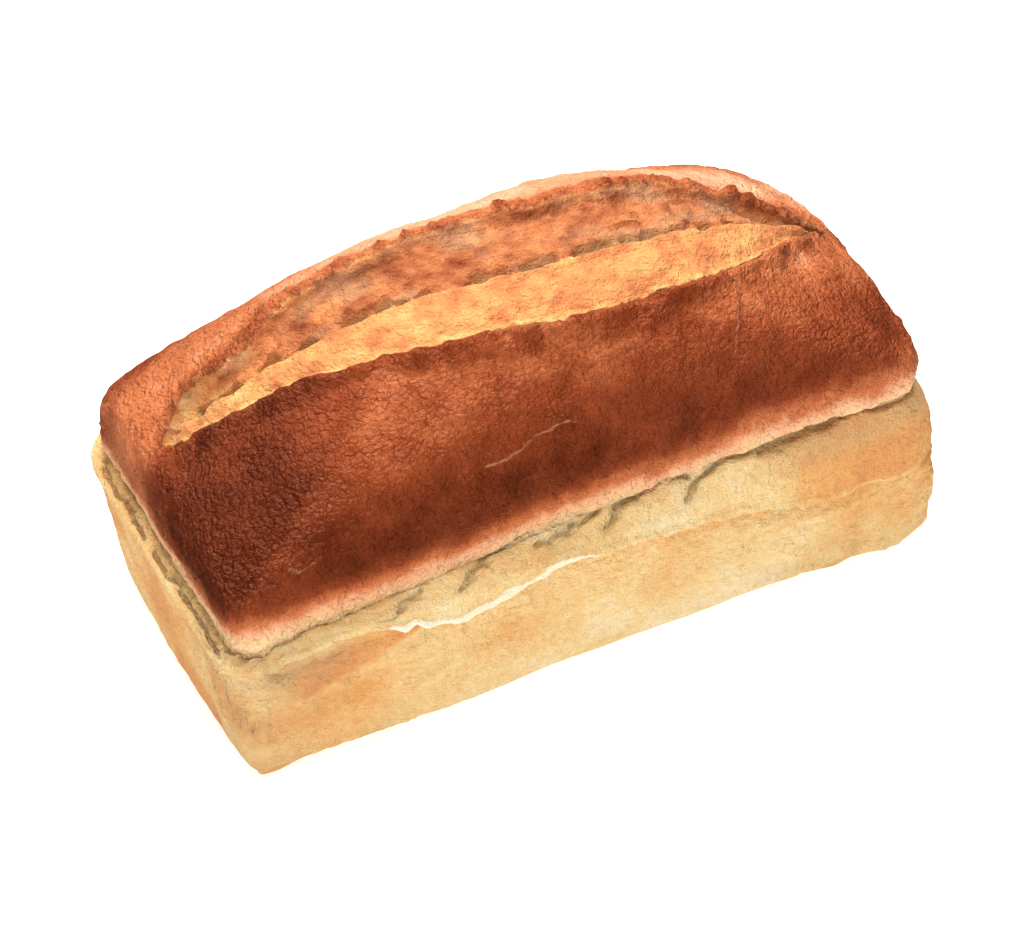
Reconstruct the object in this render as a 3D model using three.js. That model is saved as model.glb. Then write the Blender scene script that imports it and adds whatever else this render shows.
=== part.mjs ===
// A tin loaf: one solid of bread, baked in a flared tin that it has risen well out of.
// Millimetres. +X runs along the loaf and +Z is up. The origin is at the bottom centre.
//
// The skin is a stack of closed rings. They start on the flat base and go up the wall that the
// tin shaped, over the ledge where the dough left the tin, through the torn shred, round the
// rolled edge of the crust and over the crown to the crease of the split top. There the front
// half of the last ring meets the back half.

import * as THREE from "three";

// --- Driving dimensions --------------------------------------------------------------------------

// Half sizes of the loaf at three heights, measured out from the middle of the base. The ends
// bulge out by bulgeLeft and bulgeRight, and a waist draws the long sides in halfway along.
const BASE = {
  left: 116, right: 118, front: 58, back: 59,
  nearLeftCorner: 7, nearRightCorner: 18, farRightCorner: 18, farLeftCorner: 18,
  bulgeLeft: 1.5, bulgeRight: 2, waistFront: 0, waistBack: 0,
};
const RIM = {
  left: 120.5, right: 118.5, front: 62.5, back: 62.5,
  nearLeftCorner: 10, nearRightCorner: 24, farRightCorner: 26, farLeftCorner: 20,
  bulgeLeft: 0.5, bulgeRight: 1, waistFront: 0, waistBack: 0,
};
const CRUST = {
  left: 116.5, right: 109.5, front: 59.5, back: 61,
  nearLeftCorner: 8, nearRightCorner: 13, farRightCorner: 26, farLeftCorner: 18,
  bulgeLeft: 0.5, bulgeRight: 1, waistFront: 4, waistBack: 1,
};
const RIM_HEIGHT = 52; // where the tin ended, and the wall's flare with it
const FLARE_LIMIT = 1.15; // the wall flares on a little way above the rim
const BASE_ROUND = 6; // radius between base and wall
const TOP_CORNER = { left: 22, right: 46 }; // the crown's corner radii grow to these at its top

// The lower edge of the crust, and the roll of crust above it.
const EDGE = { height: 55.5, riseAlong: 0.05, riseAcross: 0, roll: 6 };

// The ledge where the dough left the tin. Its lip runs downhill along the front and is proudest
// left of the middle. The wall draws in a little just under it.
const LEDGE = {
  height: 44, riseAlong: -0.11, endShare: 0.4,
  lip: 3, lipLimit: 0.4, underLip: 0.2, round: 0.75, recess: 2, recessShare: 0.35,
  proud: 2.6, proudLeast: 0.7, proudOnEnds: 0.35, proudCentre: -38, proudReach: 55,
};

// The torn zone from the ledge to the crust. Its skin draws in slowly and bends in late, to a
// groove under the crust.
const SHRED = { least: 2.5, groove: 1.8, overlap: 1, overlapLimit: 0.2, draw: 1.6, shoulder: 2.2 };

// The crown's crest falls away from its summit to both ends, and the crease of the split winds
// along it.
const CREST = {
  y: 12, summit: 118.5,
  leftFall: 41.5, leftPower: 2.5,
  rightFall: 35.5, rightPower: 2.7,
};
const CREASE = {
  left: -106, right: 104, depth: 3,
  middle: 1.5, swing: 17, swingCentre: 24, swingHalf: 200,
};
const SHALLOW_END = { length: 16, share: 0.3 }; // the split is shallower near both its ends

// The two lips of the split: how far each stands from the crease, where along the loaf it is
// widest, how far it runs to both sides of that, and how high its ridge is.
const NEAR_LIP = {
  width: 20, centre: -40, ridge: 0.7,
  left: 72, leftPower: 3,
  right: 138, rightPower: 9,
};
const FAR_LIP = {
  width: 24, centre: 36, ridge: 1.5,
  left: 151, leftPower: 3.2,
  right: 62, rightPower: 2.6,
};
const END_LIP = 2; // how far the split runs on past the ends of the crease
const LIP_LIMIT = 0.7; // the most that a lip takes of the way from the crease to the crown's foot
const LIP_SPREAD = { top: 1.06, width: 0.1 }; // the rolled top of a lip, in shares of its distance
const FAR_LIP_STEP = { drop: 2.8, start: 0.82 }; // the drop just inside the far lip
const BAND = { swell: 0.9, crease: 0.45 }; // the near half swells between its lip and the crease

// Superellipse powers of the crown's upright sections.
const CROWN_POWER = { front: 2.8, back: 1.64, backEnds: 2.1, left: 3.4, right: 2.3 };

// Slow unevenness of the baked skin: how high the lumps are and how long, place by place.
const LUMPS = {
  edgeFront: { height: 0.5, length: 20 },
  edgeBack: { height: 1.6, length: 20 },
  ledge: { height: 1.2, length: 16 },
  wall: { height: 0.5, length: 22 },
  shred: { height: 0.7, length: 9 },
  crown: { height: 0.9, length: 19 },
};

// --- Mesh sizes ----------------------------------------------------------------------------------

const SIDE_STEPS = 42;
const END_STEPS = 18;
const CORNER_STEPS = 8;
const CROWN_RINGS = 11;

// The rings of each zone, as shares of the way through it from below.
const BASE_ROUND_RINGS = [0, 0.35, 0.7, 1];
const WALL_RINGS = [0.25, 0.5, 0.75, 1];
const LEDGE_RINGS = [0, 0.4, 1];
const SHRED_RINGS = [0.3, 0.6, 0.85, 1];
const EDGE_RINGS = [0.12, 0.35, 0.65, 1];

// The rings of the split, and the crown's last one, as shares of the way from the crease to the lip.
const LAST_CROWN_RING = 1.12;
const SPLIT_RINGS = [1.04, 0.97, 0.86, 0.64, 0.43, 0.22, 0.07];

const LIP_SEARCH_STEPS = 20;

// --- Helpers -------------------------------------------------------------------------------------

const lerp = THREE.MathUtils.lerp;
const clamp01 = (value) => Math.min(1, Math.max(0, value));
const smooth = (low, high, value) => THREE.MathUtils.smoothstep(value, low, high);

// Slow lumps at a place in the skin, the same wherever they are asked for twice.
function lumps({ height, length }, x, y, z) {
  const a = x / length;
  const b = y / length;
  const c = z / length;
  const broad = Math.sin(a * 1.7 + 0.8 * Math.sin(b * 1.3 + 2.1)) * Math.cos(b * 1.1 + c * 0.7 + 0.4);
  const fine = Math.sin(a * 3.9 + b * 2.3 + 1.9) * Math.cos(c * 3.1 - a * 1.2);
  return height * lerp(broad, fine, 0.35);
}

// --- Stations round the loaf ---------------------------------------------------------------------

// A station is a place on every ring. (cx, cy) is its place on the rectangle through the
// corners' centres, and (nx, ny) points straight out of the loaf there. The stations go
// anticlockwise from the left end of the front.
function makeStations() {
  const corners = [[1, -1], [1, 1], [-1, 1], [-1, -1]];
  const stations = [];
  corners.forEach(([cornerX, cornerY], index) => {
    const startAngle = (index - 1) * (Math.PI / 2);
    const outX = Math.round(Math.cos(startAngle));
    const outY = Math.round(Math.sin(startAngle));
    const steps = outY !== 0 ? SIDE_STEPS : END_STEPS;
    const [fromX, fromY] = corners[(index + 3) % 4];
    for (let i = 0; i < steps; i++) {
      const t = i / steps;
      stations.push({ cx: lerp(fromX, cornerX, t), cy: lerp(fromY, cornerY, t), nx: outX, ny: outY });
    }
    for (let i = 0; i < CORNER_STEPS; i++) {
      const angle = startAngle + (i / CORNER_STEPS) * (Math.PI / 2);
      stations.push({ cx: cornerX, cy: cornerY, nx: Math.cos(angle), ny: Math.sin(angle) });
    }
  });
  return stations;
}

// The point of a rounded rectangle with bulging ends at a station. Its corners have their own
// radii at a roundness of 0 and those of the crown's top at 1.
function outline(size, station, inset = 0, roundness = 0) {
  const { cx, cy, nx, ny } = station;
  const nearCorner = lerp(size.nearLeftCorner, size.nearRightCorner, (1 + cx) / 2);
  const farCorner = lerp(size.farLeftCorner, size.farRightCorner, (1 + cx) / 2);
  const topCorner = lerp(TOP_CORNER.left, TOP_CORNER.right, (1 + cx) / 2);
  const corner = lerp(lerp(nearCorner, farCorner, (1 + cy) / 2), topCorner, roundness);
  const halfX = (cx < 0 ? size.left : size.right) - corner;
  const halfY = (cy < 0 ? size.front : size.back) - corner;
  const bulge = (nx < 0 ? size.bulgeLeft : size.bulgeRight) * (1 - cy * cy);
  const waist = (ny < 0 ? size.waistFront : size.waistBack) * (1 - cx * cx);
  return [cx * halfX + nx * (corner - inset + bulge), cy * halfY + ny * (corner - inset - waist)];
}

function mixSizes(low, high, t) {
  const mixed = {};
  for (const key of Object.keys(low)) {
    mixed[key] = lerp(low[key], high[key], t);
  }
  return mixed;
}

// --- Heights that change round the loaf ----------------------------------------------------------

// 1 along the front of the loaf, 0 along its back, and a slow change between them on the ends.
const frontness = (y) => 1 - smooth(-45, 45, y);

function edgeHeight(x, y) {
  const slope = EDGE.riseAlong * x + EDGE.riseAcross * y;
  const uneven = lerp(lumps(LUMPS.edgeBack, x, y, 0), lumps(LUMPS.edgeFront, x, y, 0), frontness(y));
  return EDGE.height + slope + uneven;
}

function ledgeHeight(x, y) {
  const slope = LEDGE.riseAlong * x * lerp(LEDGE.endShare, 1, frontness(y));
  const height = LEDGE.height + slope + lumps(LUMPS.ledge, x, y, 0);
  return Math.min(height, edgeHeight(x, y) - SHRED.least);
}

function ledgeProud(x, y) {
  const along = (x - LEDGE.proudCentre) / LEDGE.proudReach;
  const share = lerp(LEDGE.proudOnEnds, Math.exp(-along * along), frontness(y));
  return lerp(LEDGE.proudLeast, LEDGE.proud, share);
}

// --- Rings of the base, the wall, the ledge and the shred ----------------------------------------

function wallPoint(station, z, inset) {
  const size = mixSizes(BASE, RIM, Math.min(FLARE_LIMIT, z / RIM_HEIGHT));
  const [x, y] = outline(size, station, inset);
  return [x, y, z];
}

// A quarter circle between the flat base and the wall.
function baseRoundRing(stations, t) {
  const angle = t * (Math.PI / 2);
  const inset = BASE_ROUND * (1 - Math.sin(angle));
  const z = BASE_ROUND * (1 - Math.cos(angle));
  return stations.map((station) => wallPoint(station, z, inset));
}

// The wall between the base's round and the ledge. It draws in a little just under the lip.
function wallRing(stations, t) {
  return stations.map((station) => {
    const [x, y] = outline(RIM, station);
    const z = lerp(BASE_ROUND, ledgeHeight(x, y) - LEDGE.recess, t);
    const recess = LEDGE.recessShare * ledgeProud(x, y) * smooth(0.8, 1, t);
    return wallPoint(station, z, recess + lumps(LUMPS.wall, x, y, z));
  });
}

// How high the ledge's lip is. It is thinner where the crust comes close to it.
function lipHeight(x, y) {
  const room = edgeHeight(x, y) - ledgeHeight(x, y);
  return Math.min(LEDGE.lip, LEDGE.lipLimit * room);
}

// The ledge's lip, from its lowest edge to where the shred starts.
function ledgeRing(stations, t) {
  return stations.map((station) => {
    const [x, y] = outline(RIM, station);
    const z = ledgeHeight(x, y) + lerp(-LEDGE.underLip, 1, t) * lipHeight(x, y);
    return wallPoint(station, z, -ledgeProud(x, y) * lerp(1, LEDGE.round, t));
  });
}

// The torn shred between the ledge and the groove under the crust.
function shredRing(stations, t) {
  return stations.map((station) => {
    const [x, y] = outline(RIM, station);
    const low = ledgeHeight(x, y) + lipHeight(x, y);
    const room = edgeHeight(x, y) - low;
    const z = low + t * (room - Math.min(SHRED.overlap, SHRED.overlapLimit * room));
    const inset = lerp(-LEDGE.round * ledgeProud(x, y), SHRED.groove, t ** SHRED.draw);
    const [wallX, wallY] = wallPoint(station, z, inset + lumps(LUMPS.shred, x, y, z));
    const [grooveX, grooveY] = outline(CRUST, station, SHRED.groove);
    const bend = t ** SHRED.shoulder;
    return [lerp(wallX, grooveX, bend), lerp(wallY, grooveY, bend), z];
  });
}

// The rolled lower edge of the crust, from the groove to the crown's foot.
function edgeRing(stations, t) {
  return stations.map((station) => {
    const foot = crownFoot(station);
    const angle = t * (Math.PI / 2);
    const [x, y] = outline(CRUST, station, SHRED.groove * (1 - Math.sin(angle)));
    return [x, y, foot.z - EDGE.roll * Math.cos(angle)];
  });
}

// --- The crown -----------------------------------------------------------------------------------

// Where a station's line up the crown starts, on the crust's widest outline.
function crownFoot(station) {
  const [x, y] = outline(CRUST, station);
  return new THREE.Vector3(x, y, edgeHeight(x, y) + EDGE.roll);
}

// How far back the crease lies at a place along the loaf.
function creaseY(x) {
  const turn = (Math.PI * (x - CREASE.swingCentre)) / CREASE.swingHalf;
  return CREASE.middle - CREASE.swing * Math.cos(turn);
}

// Where that line ends, on the crease, at the height of the crown's crest there.
// A station and the one straight across the loaf share it.
function creasePoint(station) {
  const straightAcross = { ...station, cy: -station.cy, ny: -station.ny };
  const footX = (outline(CRUST, station)[0] + outline(CRUST, straightAcross)[0]) / 2;
  const left = -CRUST.left - CRUST.bulgeLeft;
  const right = CRUST.right + CRUST.bulgeRight;
  const x = lerp(CREASE.left, CREASE.right, (footX - left) / (right - left));
  const fall = x < 0
    ? CREST.leftFall * (x / CREASE.left) ** CREST.leftPower
    : CREST.rightFall * (x / CREASE.right) ** CREST.rightPower;
  return new THREE.Vector3(x, creaseY(x), CREST.summit - fall);
}

// How deep the split is along the crease, as a share of its full depth.
function splitDepth(x) {
  const fromEnd = Math.min(x - CREASE.left, CREASE.right - x);
  return lerp(SHALLOW_END.share, 1, smooth(0, SHALLOW_END.length, fromEnd));
}

const creaseHeight = (crease) => crease.z - CREASE.depth * splitDepth(crease.x);

// 1 on the near side of the split, 0 on its far side, and a slow change between them round its ends.
const nearShare = (station) => 1 - smooth(-0.9, 0.9, (station.cy + station.ny) / 2);

// How far a lip stands from the crease at a place along the loaf.
function lipWidth(lip, x) {
  const half = x < lip.centre ? lip.left : lip.right;
  const power = x < lip.centre ? lip.leftPower : lip.rightPower;
  return lip.width * clamp01(1 - Math.abs((x - lip.centre) / half) ** power);
}

// Whether a place in plan lies between the two lips.
function isInSplit(x, y) {
  const across = y - creaseY(x);
  const beyond = Math.max(0, CREASE.left - x, x - CREASE.right);
  const width = lipWidth(across < 0 ? NEAR_LIP : FAR_LIP, x);
  return Math.hypot(across, beyond) < Math.max(width, END_LIP);
}

// How far the split reaches from the crease on a station's line, and the length of that line in plan.
function splitReach(station) {
  const foot = crownFoot(station);
  const crease = creasePoint(station);
  const span = Math.hypot(foot.x - crease.x, foot.y - crease.y);
  let inside = 0;
  let outside = LIP_LIMIT;
  for (let step = 0; step < LIP_SEARCH_STEPS; step++) {
    const share = (inside + outside) / 2;
    if (isInSplit(lerp(crease.x, foot.x, share), lerp(crease.y, foot.y, share))) {
      inside = share;
    } else {
      outside = share;
    }
  }
  return { reach: inside * span, span };
}

// The smooth crown under the split and the lumps, at a share of the way (in plan) from the
// crease to the foot, and the direction that points out of it there. Its level sections have
// rounder corners the higher they lie.
function smoothCrown(station, share) {
  const foot = crownFoot(station);
  const crease = creasePoint(station);
  const { span } = splitReach(station);
  const [levelX, levelY] = outline(CRUST, station, 0, Math.sqrt(1 - share * share));

  // The crest lies behind the crease, so lines up the back pass over it and end on the front's slope.
  const offset = (station.ny * (crease.y - CREST.y)) / Math.abs(foot.y - CREST.y);
  const fromCrest = lerp(offset, 1, share); // 0 on the crest, 1 at the foot
  const nearness = fromCrest < 0 ? 1 : nearShare(station);
  const backPower = lerp(CROWN_POWER.back, CROWN_POWER.backEnds, station.cx ** 4);
  const sidePower = lerp(backPower, CROWN_POWER.front, nearness);
  const endPower = station.nx < 0 ? CROWN_POWER.left : CROWN_POWER.right;
  const power = lerp(endPower, sidePower, Math.abs(station.ny));
  const frontShare = (fromCrest * Math.abs(foot.y - CREST.y)) / (CRUST.front + CREST.y);
  const away = fromCrest < 0 ? frontShare : fromCrest;
  const up = (1 - Math.abs(away) ** power) ** (1 / power);
  const point = new THREE.Vector3(
    lerp(crease.x, levelX, share),
    lerp(crease.y, levelY, share),
    lerp(foot.z, crease.z, up),
  );

  const steepness = (Math.abs(away) / Math.max(up, 0.05)) ** (power - 1) * Math.sign(away);
  const slope = ((crease.z - foot.z) / span) * (1 - offset) * steepness;
  const outward = new THREE.Vector3(foot.x - crease.x, foot.y - crease.y, 0);
  outward.multiplyScalar(slope / span).setZ(1).normalize();
  return { point, outward };
}

// How far the skin stands above the smooth crown. across is 0 on the crease and 1 on the lip,
// depth is the split's depth there as a share, and drop is how far the crease lies under the
// smooth crown.
function splitRelief(station, across, depth, drop) {
  const near = nearShare(station);
  const fromTop = (across - LIP_SPREAD.top) / LIP_SPREAD.width;
  const ridge = lerp(FAR_LIP.ridge, NEAR_LIP.ridge, near) * Math.exp(-fromTop * fromTop);
  const inside = clamp01(across);
  const swell = BAND.swell * depth * Math.sin(Math.PI * inside);
  const band = swell - drop * (1 - smooth(0, BAND.crease, inside));
  const step = Math.min(FAR_LIP_STEP.drop * depth, drop);
  const slope = -step * (1 - smooth(FAR_LIP_STEP.start, 1, inside)) - (drop - step) * (1 - inside);
  return depth * ridge + lerp(slope, band, near);
}

function crownPoint(station, share) {
  const { point, outward } = smoothCrown(station, share);
  const { reach, span } = splitReach(station);
  const crease = creasePoint(station);
  const across = (share * span) / reach;
  const drop = smoothCrown(station, 0).point.z - creaseHeight(crease);
  const relief = splitRelief(station, across, splitDepth(crease.x), drop);
  const uneven = lumps(LUMPS.crown, point.x, point.y, point.z) * smooth(1, 1.5, across);
  return point.addScaledVector(outward, relief + uneven).toArray();
}

// The share of the way from crease to foot at which the station's lip lies.
function lipShare(station) {
  const { reach, span } = splitReach(station);
  return reach / span;
}

// From the foot to the lip, evenly spaced in angle so that the steep foot gets its rings too.
function crownRing(stations, t) {
  return stations.map((station) => {
    const angle = t * Math.acos(lipShare(station) * LAST_CROWN_RING);
    return crownPoint(station, Math.cos(angle));
  });
}

// Across the lip and down to the crease.
function splitRing(stations, across) {
  return stations.map((station) => crownPoint(station, lipShare(station) * across));
}

// --- The skin ------------------------------------------------------------------------------------

function makeRings(stations) {
  const crownShares = Array.from({ length: CROWN_RINGS }, (_, i) => (i + 1) / CROWN_RINGS);
  return [
    ...BASE_ROUND_RINGS.map((t) => baseRoundRing(stations, t)),
    ...WALL_RINGS.map((t) => wallRing(stations, t)),
    ...LEDGE_RINGS.map((t) => ledgeRing(stations, t)),
    ...SHRED_RINGS.map((t) => shredRing(stations, t)),
    ...EDGE_RINGS.map((t) => edgeRing(stations, t)),
    ...crownShares.map((t) => crownRing(stations, t)),
    ...SPLIT_RINGS.map((across) => splitRing(stations, across)),
  ];
}

// The station straight across the crease, on the other side of the loaf.
function oppositeStation(index, count) {
  const backStart = SIDE_STEPS + CORNER_STEPS + END_STEPS + CORNER_STEPS; // the back's right end
  return (backStart + SIDE_STEPS - index + count) % count;
}

function makeLoafGeometry() {
  const stations = makeStations();
  const count = stations.length;
  const rings = makeRings(stations);
  const positions = rings.flat();
  const indices = [];
  const quad = (a, b, c, d) => indices.push(a, b, c, a, c, d);

  for (let ring = 0; ring + 1 < rings.length; ring++) {
    const low = ring * count;
    const high = low + count;
    for (let i = 0; i < count; i++) {
      const next = (i + 1) % count;
      quad(low + i, low + next, high + next, high + i);
    }
  }

  // The crease closes the last ring: a station and its opposite share one point of it.
  const lastRing = (rings.length - 1) * count;
  const creaseStart = positions.length;
  for (const station of stations) {
    const crease = creasePoint(station);
    positions.push([crease.x, crease.y, creaseHeight(crease)]);
  }
  const onCrease = (i) => creaseStart + Math.min(i, oppositeStation(i, count));
  for (let i = 0; i < count; i++) {
    const next = (i + 1) % count;
    if (onCrease(i) === onCrease(next)) {
      indices.push(lastRing + i, lastRing + next, onCrease(i));
    } else {
      quad(lastRing + i, lastRing + next, onCrease(next), onCrease(i));
    }
  }

  const baseCentre = positions.length;
  positions.push([0, 0, 0]);
  for (let i = 0; i < count; i++) {
    indices.push(baseCentre, (i + 1) % count, i);
  }

  const geometry = new THREE.BufferGeometry();
  geometry.setAttribute("position", new THREE.Float32BufferAttribute(positions.flat(), 3));
  geometry.setIndex(indices);
  return geometry;
}

// Stands the loaf on z = 0 with its bounding box centred on the origin.
function centreOnBase(geometry) {
  geometry.computeBoundingBox();
  const { min, max } = geometry.boundingBox;
  geometry.translate(-(min.x + max.x) / 2, -(min.y + max.y) / 2, -min.z);
  geometry.computeVertexNormals();
  return geometry;
}

// --- The loaf ------------------------------------------------------------------------------------

const bakedBread = new THREE.MeshStandardMaterial({ color: 0xb87442, roughness: 0.6, metalness: 0 });
const loaf = new THREE.Mesh(centreOnBase(makeLoafGeometry()), bakedBread);
loaf.name = "loaf";

const tinLoaf = new THREE.Group();
tinLoaf.add(loaf);

export default tinLoaf;
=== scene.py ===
import math

import bpy
import numpy as np
from mathutils import Matrix, Vector


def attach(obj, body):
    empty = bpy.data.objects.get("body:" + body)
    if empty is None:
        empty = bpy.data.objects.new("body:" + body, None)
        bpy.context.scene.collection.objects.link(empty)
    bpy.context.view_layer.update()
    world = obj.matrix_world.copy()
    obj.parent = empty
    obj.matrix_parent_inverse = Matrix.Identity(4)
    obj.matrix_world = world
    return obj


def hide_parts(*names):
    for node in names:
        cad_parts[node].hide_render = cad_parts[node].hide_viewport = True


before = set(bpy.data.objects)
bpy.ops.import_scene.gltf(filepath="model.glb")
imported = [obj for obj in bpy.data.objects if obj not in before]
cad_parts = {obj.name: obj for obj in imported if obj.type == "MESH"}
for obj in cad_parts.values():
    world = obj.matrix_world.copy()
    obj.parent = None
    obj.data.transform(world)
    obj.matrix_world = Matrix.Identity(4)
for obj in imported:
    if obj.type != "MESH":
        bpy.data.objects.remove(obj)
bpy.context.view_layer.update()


# ---- Camera -------------------------------------------------------------------------------------
# A long lens that looks down on the loaf from the left of its front.
# It leans a little, so that the loaf climbs to the right in the picture.

CAMERA_AZIMUTH = math.radians(-23.75)
CAMERA_ELEVATION = math.radians(40.0)
CAMERA_LEAN = math.radians(-3.47)
CAMERA_DISTANCE = 0.9907
CAMERA_AIM = Vector((-0.0060, -0.0076, 0.0397))
SENSOR_WIDTH = 36
LENS = 115.1

backwards = Vector((
    math.sin(CAMERA_AZIMUTH) * math.cos(CAMERA_ELEVATION),
    -math.cos(CAMERA_AZIMUTH) * math.cos(CAMERA_ELEVATION),
    math.sin(CAMERA_ELEVATION),
))
level = Vector((0, 0, 1)).cross(backwards).normalized()
upright = backwards.cross(level)
sideways = level * math.cos(CAMERA_LEAN) + upright * math.sin(CAMERA_LEAN)
upwards = upright * math.cos(CAMERA_LEAN) - level * math.sin(CAMERA_LEAN)

bpy.ops.object.select_all(action="DESELECT")
bpy.ops.object.camera_add()
camera = bpy.context.object
camera.name = "loaf_camera"
camera.data.sensor_width = SENSOR_WIDTH
camera.data.lens = LENS
camera.matrix_world = Matrix.LocRotScale(
    CAMERA_AIM + backwards * CAMERA_DISTANCE,
    Matrix((sideways, upwards, backwards)).transposed().to_quaternion(),
    None,
)
bpy.context.scene.camera = camera


# ---- Loaf: form ---------------------------------------------------------------------------------
# One tin loaf of white bread. Its wall and base were shaped by a flared tin, and its crown rose out
# of the tin, browned, and split open along the top. It is a single piece of bread.
#
# The skin is made of stacked rings, from the base up the wall, over the ledge and the torn shred,
# round the crust's rolled edge and up the crown to the crease of the split. A station is a place on
# every ring. Sizes are in millimetres until the mesh is placed.

MM = 0.001
SIDE_STEPS = 42
END_STEPS = 18
CORNER_STEPS = 8

# Half sizes at the base, at the tin's rim and at the foot of the crown, with the corners' radii.
BASE = {
    "left": 116, "right": 118, "front": 58, "back": 59,
    "near_left": 7, "near_right": 18, "far_right": 18, "far_left": 18,
    "bulge_left": 1.5, "bulge_right": 2, "waist_front": 0, "waist_back": 0,
}
RIM = {
    "left": 120.5, "right": 118.5, "front": 62.5, "back": 62.5,
    "near_left": 10, "near_right": 24, "far_right": 26, "far_left": 20,
    "bulge_left": 0.5, "bulge_right": 1, "waist_front": 0, "waist_back": 0,
}
CRUST = {
    "left": 116.5, "right": 109.5, "front": 59.5, "back": 61,
    "near_left": 8, "near_right": 13, "far_right": 26, "far_left": 18,
    "bulge_left": 0.5, "bulge_right": 1, "waist_front": 4, "waist_back": 1,
}
TOP_CORNER_LEFT = 22
TOP_CORNER_RIGHT = 46
RIM_HEIGHT = 52
FLARE_LIMIT = 1.15
BASE_ROUND = 6

EDGE_HEIGHT = 55.5
EDGE_RISE = 0.05
EDGE_ROLL = 6
LEDGE_HEIGHT = 44
LEDGE_RISE = -0.11
LEDGE_LIP = 3
LEDGE_BELOW_EDGE = 2.5
LEAST_PROUD = 0.7
MOST_PROUD = 2.6
PROUDEST_X = -38
PROUD_LENGTH = 55
GROOVE = 1.8
OVERLAP = 1  # how far the crust's edge hangs over the groove
SHOULDER = 2.2  # how late the torn wall bends inwards under the crust

CREST_Y = 12
SUMMIT = 118.5
LEFT_FALL = 41.5
LEFT_FALL_POWER = 2.5
RIGHT_FALL = 35.5
RIGHT_FALL_POWER = 2.7
CREASE_LEFT = -106
CREASE_RIGHT = 104
CREASE_MIDDLE = 1.5
CREASE_SWING = 17
CREASE_SWING_X = 24
CREASE_SWING_LENGTH = 200
CREASE_DEPTH = 3
SPLIT_RUN_OUT = 16  # how far from its ends the split grows shallow
NEAR_LIP = {
    "width": 20, "centre": -40, "left": 72, "left_power": 3, "right": 138, "right_power": 9,
}
FAR_LIP = {
    "width": 24, "centre": 36, "left": 151, "left_power": 3.2, "right": 62, "right_power": 2.6,
}
NEAR_RIM = 0.7
FAR_RIM = 1.5
RIM_PLACE = 1.06  # in widths of the split, from its crease
RIM_HALF = 0.1
NEAR_BAND_SWELL = 0.9
FAR_LIP_DROP = 2.8
END_LIP = 2
LIP_LIMIT = 0.7
LAST_CROWN_RING = 1.12
FRONT_POWER = 2.8
BACK_POWER = 1.64
BACK_END_POWER = 2.1
LEFT_POWER = 3.4
RIGHT_POWER = 2.3


def lerp(start, end, share):
    return start + (end - start) * share


def smooth(low, high, value):
    share = np.clip((value - low) / (high - low), 0, 1)
    return share * share * (3 - 2 * share)


def hill(value, centre, half):
    """1 at the centre, falling off to both sides within about the half width."""
    return np.exp(-(((value - centre) / half) ** 2))


def lumps(height, length, x, y, z):
    """The slow lumps of the baked skin."""
    a, b, c = x / length, y / length, z / length
    broad = np.sin(a * 1.7 + 0.8 * np.sin(b * 1.3 + 2.1)) * np.cos(b * 1.1 + c * 0.7 + 0.4)
    fine = np.sin(a * 3.9 + b * 2.3 + 1.9) * np.cos(c * 3.1 - a * 1.2)
    return height * lerp(broad, fine, 0.35)


def make_stations():
    """Anticlockwise from the front's left end, as places from -1 to 1 and outward directions."""
    corners = [(1, -1), (1, 1), (-1, 1), (-1, -1)]
    stations = []
    for index, (corner_x, corner_y) in enumerate(corners):
        start = (index - 1) * math.pi / 2
        out_x, out_y = round(math.cos(start)), round(math.sin(start))
        steps = SIDE_STEPS if out_y else END_STEPS
        from_x, from_y = corners[index - 1]
        for step in range(steps):
            share = step / steps
            side_x, side_y = lerp(from_x, corner_x, share), lerp(from_y, corner_y, share)
            stations.append((side_x, side_y, out_x, out_y))
        for step in range(CORNER_STEPS):
            angle = start + step / CORNER_STEPS * math.pi / 2
            stations.append((corner_x, corner_y, math.cos(angle), math.sin(angle)))
    return np.array(stations + stations[:1], float).T


place_x, place_y, out_x, out_y = make_stations()
near_share = 1 - smooth(-0.9, 0.9, (place_y + out_y) / 2)


def outline(size, inset=0.0, roundness=0.0, mirror=1):
    """A rounded rectangle with bulging ends, as x and y at every station, or at those across it."""
    side, out_side = place_y * mirror, out_y * mirror
    along = (1 + place_x) / 2
    near_corner = lerp(size["near_left"], size["near_right"], along)
    far_corner = lerp(size["far_left"], size["far_right"], along)
    top_corner = lerp(TOP_CORNER_LEFT, TOP_CORNER_RIGHT, along)
    corner = lerp(lerp(near_corner, far_corner, (1 + side) / 2), top_corner, roundness)
    half_x = np.where(place_x < 0, size["left"], size["right"]) - corner
    half_y = np.where(side < 0, size["front"], size["back"]) - corner
    bulge = np.where(out_x < 0, size["bulge_left"], size["bulge_right"]) * (1 - side**2)
    waist = np.where(out_side < 0, size["waist_front"], size["waist_back"]) * (1 - place_x**2)
    return (
        place_x * half_x + out_x * (corner - inset + bulge),
        side * half_y + out_side * (corner - inset - waist),
    )


def frontness(y):
    """1 on the front of the loaf, 0 on its back."""
    return 1 - smooth(-45, 45, y)


def edge_height(x, y):
    """Height of the crust's lower edge."""
    uneven = lerp(lumps(1.6, 20, x, y, 0), lumps(0.5, 20, x, y, 0), frontness(y))
    return EDGE_HEIGHT + EDGE_RISE * x + uneven


def ledge_height(x, y):
    """Height of the ledge where the dough left the tin."""
    height = LEDGE_HEIGHT + LEDGE_RISE * x * lerp(0.4, 1, frontness(y)) + lumps(1.2, 16, x, y, 0)
    return np.minimum(height, edge_height(x, y) - LEDGE_BELOW_EDGE)


def ledge_proud(x, y):
    """How far the ledge's lip stands out, most on the left of the front."""
    proudness = lerp(0.35, hill(x, PROUDEST_X, PROUD_LENGTH), frontness(y))
    return lerp(LEAST_PROUD, MOST_PROUD, proudness)


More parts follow.
